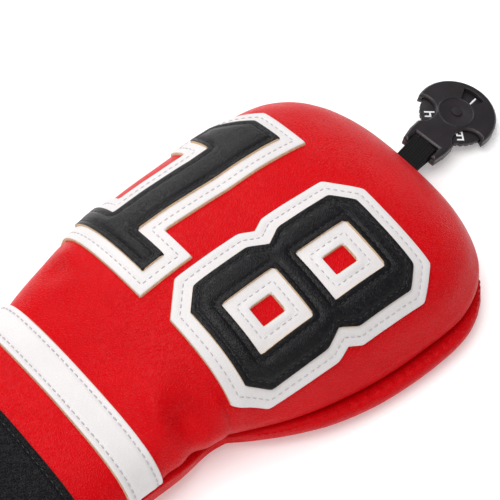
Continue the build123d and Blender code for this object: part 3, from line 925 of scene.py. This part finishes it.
class Kit:
    """What every operator works with: sizes, shape and finishes."""

    def __init__(self, context):
        scene = context.scene
        self.sizes = scene.head_cover_sizes
        self.numerals = scene.head_cover_numerals
        self.form = CoverForm(self.sizes)
        self.cover = FrontMap(self.form)
        self.finishes = Finishes(scene.head_cover_colours)
        self.mouth = self.form.mouth
        self.stripe = self.stations("front_stripe")
        self.sleeve = self.stations("sleeve_front")[0]
        self.panel_end = self.stations("front_panel")[1]

    def stations(self, node):
        """First and last station of a node of the frame."""
        low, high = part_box(node)
        return self.form.tip - high.y / MM, self.form.tip - low.y / MM


TIP_ZONE = 14.0


def crown_stations(start, end, step=1.15):
    """Stations packed close at the rounded tip, then even."""
    tip = start + TIP_ZONE * (np.arange(24) / 24.0) ** 2
    rest = np.linspace(start + TIP_ZONE, end, int((end - start - TIP_ZONE) / step) + 2)
    return np.concatenate([tip, rest])


def turns(count, edge=1.0):
    """Turns from the left to the right, packed close at the seams."""
    share = np.linspace(-1.0, 1.0, count)
    return edge * np.sin(share * np.pi / 2) * 0.55 + edge * share * 0.45


def cover_slab(name, node, top, below, back, materials, raw_rows=0):
    """A sheet on the front or back of the cover, standing for a node of the frame."""
    if back:
        top, below = top[:, ::-1], below[:, ::-1]
    piece = slab(name, top, below, materials, "cover", raw_rows=raw_rows)
    if node:
        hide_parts(node)
    return piece


def ply(form, name, node, u, t, back, outer, inner, materials):
    """One sheet of the cover between two insets, following the leather's relief."""
    top, below = (form.surface(u[:, None], t[None, :], 0.0, back, inset) for inset in (outer, inner))
    return cover_slab(name, node, top, below, back, materials)


def make_leather(kit):
    """The red front and back panels."""
    materials = [kit.finishes.red, kit.finishes.dark_cut_edge]
    u = crown_stations(0.03, kit.panel_end)
    leather = kit.sizes.leather / MM
    for side, count, back in (("front", 181, False), ("back", 241, True)):
        ply(
            kit.form, side + "_leather", side + "_panel", u, turns(count), back, 0.0, leather, materials,
        )


def make_padding(kit):
    """Foam, elastic and lining."""
    f, form, sizes = kit.finishes, kit.form, kit.sizes
    top = (sizes.leather + sizes.gap) / MM
    low = top + sizes.foam / MM
    lining_top = low + sizes.gap / MM
    lining_low = lining_top + sizes.lining / MM
    tip_room, coarse, slack = 0.6, 3.0, 0.35
    elastic_start, elastic_end = kit.stations("waist_elastic")
    foam_end = kit.stations("front_padding")[1]
    front = crown_stations(top + tip_room, foam_end, coarse)
    head = crown_stations(top + tip_room, elastic_start - 0.5, coarse)
    neck = np.linspace(elastic_end + 0.5, foam_end, 50)
    for name, node, u, t, back in (
        ("front_pad", "front_padding", front, turns(81, 0.955), False),
        ("back_pad_head", "back_padding", head, turns(101, 0.84), True),
        ("back_pad_neck", None, neck, turns(101, 0.86), True),
    ):
        pad = ply(form, name, node, u, t, back, top, low, [f.open_foam])
    band = np.linspace(elastic_start, elastic_end, 20)
    ply(
        form, "back_elastic", "waist_elastic", band, turns(161, 0.88), True, top, top + 1.4,
        [f.waist_elastic],
    )
    u = crown_stations(lining_top + tip_room, kit.mouth, coarse)
    for side, t, back in (("front", turns(81, 0.965), False), ("back", turns(101, 0.94), True)):
        ply(
            form, side + "_plush", side + "_lining", u, t, back, lining_top, lining_low, [f.plush_lining],
        )


RAW_EDGE = 0.45


def eased(distance, edge, round_off=0.8):
    """Height share of a layer near its edge: edge at the very rim, 1 inside."""
    share = limited(distance / round_off)
    return edge + (1.0 - edge) * np.sqrt(1.0 - (1.0 - share) ** 2)


def overlay(kit, name, node, first, last, back, materials, rows):
    """A band of leather over the panels, with rounded edges and stitched grooves at rows."""
    step = np.array([0.0, RAW_EDGE, 0.55, 0.8, 1.1, 1.5, 2.0, 2.5, 2.8, 3.1, 3.4, 3.8, 4.4, 5.1])
    inner = np.linspace(first + 6.2, last - 6.2, max(2, int((last - first - 12.0) / 1.3)))
    u = np.concatenate([first + step, inner, (last - step)[::-1]])
    near = np.minimum(u - first, last - u)
    lift = 0.1 + kit.sizes.leather / MM * eased(near - RAW_EDGE, 0.8, 0.6)
    lift[[0, -1]] = 0.15
    for row in rows:
        lift = lift - 0.3 * hump(u, row, 0.7) + 0.12 * hump(np.abs(u - row), 1.7, 0.8)
    t = turns(161)[None, :]
    top, low = (kit.form.surface(u[:, None], t, height, back) for height in (lift[:, None], 0.05))
    cover_slab(name, node, top, low, back, materials, raw_rows=1)


def band_row(kit, u, lift, back=False, reach=0.985):
    """A stitch path across the front or back at a station."""
    t = np.linspace(-reach, reach, 260)
    stations = np.full(len(t), u)
    return kit.form.surface(stations, t, lift, back), kit.form.normals(stations, t, back)


def make_trim(kit):
    """The white stripe, the black sleeve and the bound mouth."""
    f = kit.finishes
    first, last = kit.stripe
    rows = (first + 3.1, last - 3.1)
    overlay(
        kit, "white_stripe", "front_stripe", first, last, False, [f.white, f.cut_edge],
        rows,
    )
    paths = [band_row(kit, row, 1.15) for row in rows]
    stitch_piece("stripe_stitches", paths, f.pale_thread)
    row = kit.sleeve + 3.2
    for side, back in (("front", False), ("back", True)):
        name = "neck_sleeve_" + side
        overlay(
            kit, name, "sleeve_" + side, kit.sleeve, kit.mouth, back, [f.black, f.black_cut_edge],
            (row,),
        )
        paths = [band_row(kit, row, 1.1, back)]
        stitch_piece(name + "_stitches", paths, f.black_thread, radius=0.34)
    make_binding(kit)


def make_binding(kit):
    """Tape folded over the mouth's edge, all the way round."""
    sizes = kit.sizes
    width = sizes.binding / MM
    top = 1.45
    low = -(sizes.leather + sizes.foam + sizes.lining + 2 * sizes.gap) / MM - 0.1
    middle, reach = (top + low) / 2, (top - low) / 2
    thick, fold_room, overhang, pressed = 0.85, 0.6, 1.9, 0.25
    leg = np.linspace(kit.mouth - width, kit.mouth - fold_room, 8)
    fold = np.linspace(0.0, np.pi, 13)[1:-1]
    u_path = np.concatenate([leg, kit.mouth - fold_room + overhang * np.sin(fold) ** 0.8, leg[::-1]])
    flat = np.ones(len(leg))
    lift_path = np.concatenate([top * flat, middle + reach * np.cos(fold), low * flat])
    edges = np.zeros(len(u_path))
    edges[[0, -1]] = -pressed
    outward = np.where(lift_path > middle, 1.0, -1.0)
    folded = np.abs(lift_path - middle) < reach * 0.98
    t = turns(121)

    def ring(extra, sink):
        lift = lift_path + outward * (extra + sink * edges)
        stations = u_path + np.where(folded, extra * 0.4, 0.0)
        front, back = (
            kit.form.surface(stations[None, :], side[:, None], lift[None, :], back)
            for side, back in ((t, False), (t[::-1], True))
        )
        return np.concatenate([front[:-1], back[:-1], front[:1]])

    outer, inner = ring(thick, 1.0), ring(0.02, 0.0)
    uv = cloth_map(travelled(outer[:, 0]), travelled(outer[0]))
    tape = slab("mouth_tape", outer, inner, [kit.finishes.binding_tape], "cover", uvs=uv)
    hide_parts("mouth_binding")
    row = kit.mouth - width + 1.8
    paths = [band_row(kit, row, top + thick - 0.1, back, 1.0) for back in (False, True)]
    stitch_piece("tape_stitches", paths, kit.finishes.black_thread, radius=0.28)


def make_numerals(kit):
    """The two numerals: white leather, foam and black leather, each sewn down."""
    n = kit.numerals
    width, height = n.width / MM, n.height / MM
    chamfer, upright, level = n.chamfer / MM, n.upright / MM, n.level / MM
    stem, flag, notch = 17.0, 15.0, 4.5
    one_corner, eight_corner = (-67.9, 37.6), (5.8, 40.0)
    left, right, shoulder = (width - stem) / 2, (width + stem) / 2, height - flag
    one = [
        (0, 0), (width, 0), (width, level), (right, level), (right, height), (left, height),
        (left - flag, shoulder), (left - flag, shoulder - level), (left, shoulder - level),
        (left, level), (0, level),
    ]
    middle = height / 2
    eight = [
        (chamfer, 0), (width - chamfer, 0), (width, chamfer), (width, middle - chamfer),
        (width - notch, middle), (width, middle + chamfer), (width, height - chamfer),
        (width - chamfer, height), (chamfer, height), (0, height - chamfer), (0, middle + chamfer),
        (notch, middle), (0, middle - chamfer), (0, chamfer),
    ]
    right = width - upright
    lower = [(upright, level), (right, level), (right, middle - level / 2), (upright, middle - level / 2)]
    upper = [(x, height - y) for x, y in reversed(lower)]
    make_numeral(kit, "one", np.array(one, float) + one_corner, [])
    holes = [np.array(hole, float) + eight_corner for hole in (lower, upper)]
    make_numeral(kit, "eight", np.array(eight, float) + eight_corner, holes)


def make_numeral(kit, name, outline, holes):
    """One numeral's three layers and its two rows of stitches."""
    f, cover = kit.finishes, kit.cover
    margin = kit.numerals.margin / MM
    stitch = kit.numerals.stitch / MM
    row, inner_row, foam_edge = 3.7, 2.6, 3.1

    def moved(distance):
        """The outline moved out by a distance, and its holes moved in."""
        return grown(outline, distance), [grown(hole, -distance) for hole in holes]

    def sew(part, distance, lift, thread):
        stitch_piece(name + part, rows_on(cover, *moved(distance), lift), thread, length=stitch)

    def level(height):
        return lambda d: np.full(len(d), height)

    def pad(d):
        return limited((d - 3.0) / 2.6) ** 0.8

    def white_top(d):
        return 0.1 + 1.3 * eased(d, 0.86, 0.6) - 0.28 * hump(d, row, 0.7) + 0.10 * hump(d, row - 1.8, 0.9)

    def foam_top(d):
        return 1.45 + 0.4 * limited(d / 1.6)

    def black_top(d):
        return 1.4 + 1.15 * eased(d, 0.85, 0.5) - 0.38 * hump(d, inner_row, 0.6) + 0.65 * pad(d)

    def black_bottom(d):
        return 1.38 + 0.6 * pad(d)

    white = applique(
        name + "_border", cover, *moved(margin), (0.3, 0.8, 1.9, 2.9, row, 4.5, 5.6), white_top,
        level(0.05), RAW_EDGE, [f.white, f.cut_edge], "white_leather",
    )
    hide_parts(name + "_white")
    sew("_border_stitches", margin - row, 1.12, f.pale_thread)
    foam = applique(
        name + "_padding", cover, *moved(-foam_edge), (0.8, 1.6), foam_top, level(1.4), 0.1,
        [f.open_foam], "foam",
    )
    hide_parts(name + "_foam")
    black = applique(
        name + "_face", cover, outline, holes, (0.25, 0.7, 1.6, 2.1, inner_row, 3.1, 3.7, 4.6), black_top,
        black_bottom, 0.2, [f.smooth, f.cut_edge], "black_leather",
    )
    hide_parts(name + "_black")
    sew("_face_stitches", -inner_row, 2.12, f.black_thread)


def make_seams(kit):
    """Red topstitching on the rolled lip of the back."""
    form = kit.form
    from_seam = 3.0
    u = np.arange(8.0, 143.0, 0.8)
    paths = []
    for side in (-1.0, 1.0):
        t = side * np.linspace(1.0, 0.72, 120)
        points = form.plain_back(u[:, None], t[None, :])
        out = np.abs(points[..., 0]) - form.half_width(u[:, None], 0.0, t[None, :] > 0)
        rise = points[..., 2] - form.seam_height(u[:, None])
        turn = t[np.argmax(np.hypot(out, rise) > from_seam, axis=1)]
        paths.append((form.surface(u, turn, 0.02, True), form.normals(u, turn, True)))
    stitch_piece("lip_stitches", paths, kit.finishes.red_thread, radius=0.24)


def make_strap(kit):
    """One length of webbing, sewn into the tip seam and looped round the tag's bar."""
    joints = {joint["name"]: joint for joint in frame["joints"]}
    root, bar = (np.array(joints[name]["pos_m"]) / MM for name in ("strap_flex", "tag_swing"))
    across = np.array(joints["strap_flex"]["axis"])
    reach = np.linalg.norm(bar - root)
    along = (bar - root) / reach
    up = np.cross(across, along)
    half, bar_radius, room = 0.6, 2.3, 0.05
    radius = bar_radius + half + room
    bend = np.linspace(np.radians(104), -np.radians(104), 26)
    loop = np.stack([reach + radius * np.cos(bend), radius * np.sin(bend)], -1)
    sewn = np.array([[-5.6, half], [-4.0, half], [-2.5, half], [-1.2, half], [0.0, half + 0.02]])
    lead = np.stack([np.linspace(1.2, loop[0, 0] - 1.0, 9), np.zeros(9)], -1)
    share = (lead[:, 0] / loop[0, 0]) ** 1.6
    lead[:, 1] = half + room + (loop[0, 1] - half - room) * share
    top = np.concatenate([sewn, lead])
    path = np.concatenate([top, loop, top[::-1] * (1, -1)])
    tangent = unit(np.gradient(path, axis=0))
    normal = np.stack([-tangent[:, 1], tangent[:, 0]], -1)
    side = np.array([-1.0, -0.985, -0.95, -0.88, -0.6, -0.3, 0.0, 0.3, 0.6, 0.88, 0.95, 0.985, 1.0])
    thick = half * np.array([0.35, 0.7, 0.9, 1.0, 1.0, 1.0, 1.0, 1.0, 1.0, 1.0, 0.9, 0.7, 0.35])
    side = side * (kit.sizes.webbing / MM / 2)

    def face(sign):
        flat = path[:, None, :] + normal[:, None, :] * (sign * thick)[None, :, None]
        return root + flat[..., :1] * along + flat[..., 1:] * up + side[None, :, None] * across

    uv = cloth_map(travelled(path), side)
    materials = [kit.finishes.strap_webbing]
    strap = slab("strap_webbing", face(1.0), face(-1.0), materials, None, uvs=uv)
    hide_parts("strap_tail", "tag_loop")
    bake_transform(strap)


def make_tag(kit):
    """Finishes and softened edges of the moulded tag and its dial."""
    f = kit.finishes
    looks = {
        "tag_front_plate": (f.tag_plastic, 0.25),
        "tag_back_plate": (f.tag_plastic, 0.25),
        "tag_rivet": (f.tag_plastic, 0.12),
        "number_dial": (f.dial_plastic, 0.12),
        "dial_numerals": (f.dial_print, 0.03),
    }
    for node, (material, bevel) in looks.items():
        piece = frame["nodes"][node]
        piece.data.materials.clear()
        piece.data.materials.append(material)
        weld = piece.modifiers.new("join corners", "WELD")
        weld.merge_threshold = 0.01 * MM
        edge = piece.modifiers.new("soft edges", "BEVEL")
        edge.width = bevel * MM
        edge.segments = 3
        edge.angle_limit = math.radians(28)
        edge.harden_normals = True
        piece.data.polygons.foreach_set("use_smooth", [True] * len(piece.data.polygons))


# ---------------------------------------------------------------- stage

WHITE = (1.0, 1.0, 1.0, 1.0)
FLOOR_HALF = 4.0
FLOOR_GLOW = 0.22
# brightness of the room on the object, and in its reflections
ROOM_LIGHT, ROOM_GLOSS = 0.34, 0.15
LIGHTS_CENTRE = Vector((0.0, 0.03, 0.03))
# place from the centre in metres, size in metres, power in watts
SOFTBOXES = {
    "key": ((-1.1, 0.35, 0.85), 0.9, 9.0),
    "top": ((-0.1, -0.35, 1.5), 1.2, 18.0),
    "fill": ((1.0, -0.7, 1.0), 1.2, 3.5),
}
CAMERA_LENS = 136.25
CAMERA_TURN, CAMERA_RISE = math.radians(49.75), math.radians(55.96)
CAMERA_AWAY = 0.8238
# where the camera looks: plan x, distance from the tag's end of the model, height
CAMERA_TARGET = (-0.00781, 0.15244, 0.030)


def make_floor(context):
    """A plain pale floor."""
    paper = bpy.data.materials.new("floor paper")
    paper.use_nodes = True
    w = Wiring(paper.node_tree)
    shader = paper.node_tree.nodes["Principled BSDF"]
    tone = w.ramp(w.noise(w.place(), 3.0, 3.0), 0.3, 0.7, 0.93, 0.95)
    grey = w.add("ShaderNodeCombineColor", {0: tone, 1: tone, 2: tone}).outputs[0]
    w.join(shader.inputs, **{"Base Color": grey})
    shader.inputs["Roughness"].default_value = 0.9
    shader.inputs["Emission Color"].default_value = WHITE
    shader.inputs["Emission Strength"].default_value = FLOOR_GLOW
    corners = ((-1, -1), (1, -1), (1, 1), (-1, 1))
    mesh = bpy.data.meshes.new("floor")
    points = [(x * FLOOR_HALF, y * FLOOR_HALF, CAD_BOX[0][2]) for x, y in corners]
    mesh.from_pydata(points, [], [(0, 1, 2, 3)])
    mesh.materials.append(paper)
    floor = bpy.data.objects.new("floor", mesh)
    context.collection.objects.link(floor)


def make_room(context):
    """The pale room all round."""
    world = bpy.data.worlds.new("studio")
    context.scene.world = world
    world.use_nodes = True
    light = world.node_tree.nodes["Background"].inputs
    light["Color"].default_value = WHITE
    w = Wiring(world.node_tree)
    glossy = w.add("ShaderNodeLightPath").outputs["Is Glossy Ray"]
    strength = w.add("ShaderNodeMapRange", {0: glossy, 3: ROOM_LIGHT, 4: ROOM_GLOSS}).outputs[0]
    w.join(light, Strength=strength)


def make_softbox(context, name, offset, size, power):
    """A square area light aimed at the cover."""
    light = bpy.data.lights.new(name, "AREA")
    light.shape = "SQUARE"
    light.size = size
    light.energy = power
    lamp = bpy.data.objects.new(name, light)
    lamp.location = LIGHTS_CENTRE + Vector(offset)
    lamp.rotation_euler = (-Vector(offset)).to_track_quat("-Z", "Y").to_euler()
    context.collection.objects.link(lamp)


def make_camera(context):
    """The camera, looking down on the front from the right of the mouth."""
    camera = bpy.data.cameras.new("camera")
    camera.lens = CAMERA_LENS
    camera.sensor_width = 36.0
    camera.clip_start = 0.05
    view = bpy.data.objects.new("camera", camera)
    context.collection.objects.link(view)
    flat = math.cos(CAMERA_RISE)
    look = Vector((-math.sin(CAMERA_TURN) * flat, math.cos(CAMERA_TURN) * flat, -math.sin(CAMERA_RISE)))
    x, from_end, z = CAMERA_TARGET
    view.location = Vector((x, CAD_BOX[1][1] - from_end, z)) - look * CAMERA_AWAY
    view.rotation_euler = look.to_track_quat("-Z", "Y").to_euler()
    context.scene.camera = view


def make_stage(context):
    """Floor, soft light and camera."""
    make_floor(context)
    make_room(context)
    for name, values in SOFTBOXES.items():
        make_softbox(context, name, *values)
    make_camera(context)
    context.scene.view_settings.view_transform = "Standard"


# ---------------------------------------------------------------- operators and panel


class HEADCOVER_OT_leather(bpy.types.Operator):
    """Build the red leather front and back"""

    bl_idname = "headcover.leather"
    bl_label = "Leather"

    def execute(self, context):
        make_leather(Kit(context))
        return {"FINISHED"}


class HEADCOVER_OT_padding(bpy.types.Operator):
    """Build the foam, the waist elastic and the plush lining"""

    bl_idname = "headcover.padding"
    bl_label = "Padding and lining"

    def execute(self, context):
        make_padding(Kit(context))
        return {"FINISHED"}


class HEADCOVER_OT_trim(bpy.types.Operator):
    """Build the white stripe, the black sleeve and the bound mouth"""

    bl_idname = "headcover.trim"
    bl_label = "Stripe, sleeve and binding"

    def execute(self, context):
        make_trim(Kit(context))
        return {"FINISHED"}


class HEADCOVER_OT_numerals(bpy.types.Operator):
    """Build the two layered numerals and their stitching"""

    bl_idname = "headcover.numerals"
    bl_label = "Numerals"

    def execute(self, context):
        make_numerals(Kit(context))
        return {"FINISHED"}


class HEADCOVER_OT_seams(bpy.types.Operator):
    """Sew the rolled lip of the back"""

    bl_idname = "headcover.seams"
    bl_label = "Lip stitching"

    def execute(self, context):
        make_seams(Kit(context))
        return {"FINISHED"}


class HEADCOVER_OT_strap(bpy.types.Operator):
    """Build the webbing that holds the tag"""

    bl_idname = "headcover.strap"
    bl_label = "Strap"

    def execute(self, context):
        make_strap(Kit(context))
        return {"FINISHED"}


class HEADCOVER_OT_tag(bpy.types.Operator):
    """Finish the moulded tag and its dial"""

    bl_idname = "headcover.tag"
    bl_label = "Tag and dial"

    def execute(self, context):
        make_tag(Kit(context))
        return {"FINISHED"}


class HEADCOVER_OT_stage(bpy.types.Operator):
    """Add the floor, the lights and the camera"""

    bl_idname = "headcover.stage"
    bl_label = "Stage"

    def execute(self, context):
        make_stage(context)
        return {"FINISHED"}


STEPS = (
    HEADCOVER_OT_leather,
    HEADCOVER_OT_padding,
    HEADCOVER_OT_trim,
    HEADCOVER_OT_numerals,
    HEADCOVER_OT_seams,
    HEADCOVER_OT_strap,
    HEADCOVER_OT_tag,
    HEADCOVER_OT_stage,
)


class HEADCOVER_PT_panel(bpy.types.Panel):
    """Lists the sizes and the steps that build the head cover"""

    bl_label = "Head cover"
    bl_idname = "HEADCOVER_PT_panel"
    bl_space_type = "VIEW_3D"
    bl_region_type = "UI"
    bl_category = "Head cover"

    def draw(self, context):
        groups = (
            context.scene.head_cover_sizes,
            context.scene.head_cover_numerals,
            context.scene.head_cover_colours,
        )
        for group in groups:
            column = self.layout.column(align=True)
            for name in group.bl_rna.properties.keys():
                if name not in ("rna_type", "name"):
                    column.prop(group, name)
        for step in STEPS:
            self.layout.operator(step.bl_idname)


CLASSES = (HeadCoverSizes, HeadCoverNumerals, HeadCoverColours, *STEPS, HEADCOVER_PT_panel)


def register():
    for item in CLASSES:
        bpy.utils.register_class(item)
    bpy.types.Scene.head_cover_sizes = PointerProperty(type=HeadCoverSizes)
    bpy.types.Scene.head_cover_numerals = PointerProperty(type=HeadCoverNumerals)
    bpy.types.Scene.head_cover_colours = PointerProperty(type=HeadCoverColours)


def unregister():
    del bpy.types.Scene.head_cover_colours
    del bpy.types.Scene.head_cover_numerals
    del bpy.types.Scene.head_cover_sizes
    for item in reversed(CLASSES):
        bpy.utils.unregister_class(item)


def main():
    register()
    bpy.ops.headcover.leather()
    bpy.ops.headcover.padding()
    bpy.ops.headcover.trim()
    bpy.ops.headcover.numerals()
    bpy.ops.headcover.seams()
    bpy.ops.headcover.strap()
    bpy.ops.headcover.tag()
    bpy.ops.headcover.stage()


if __name__ == "__main__":
    main()
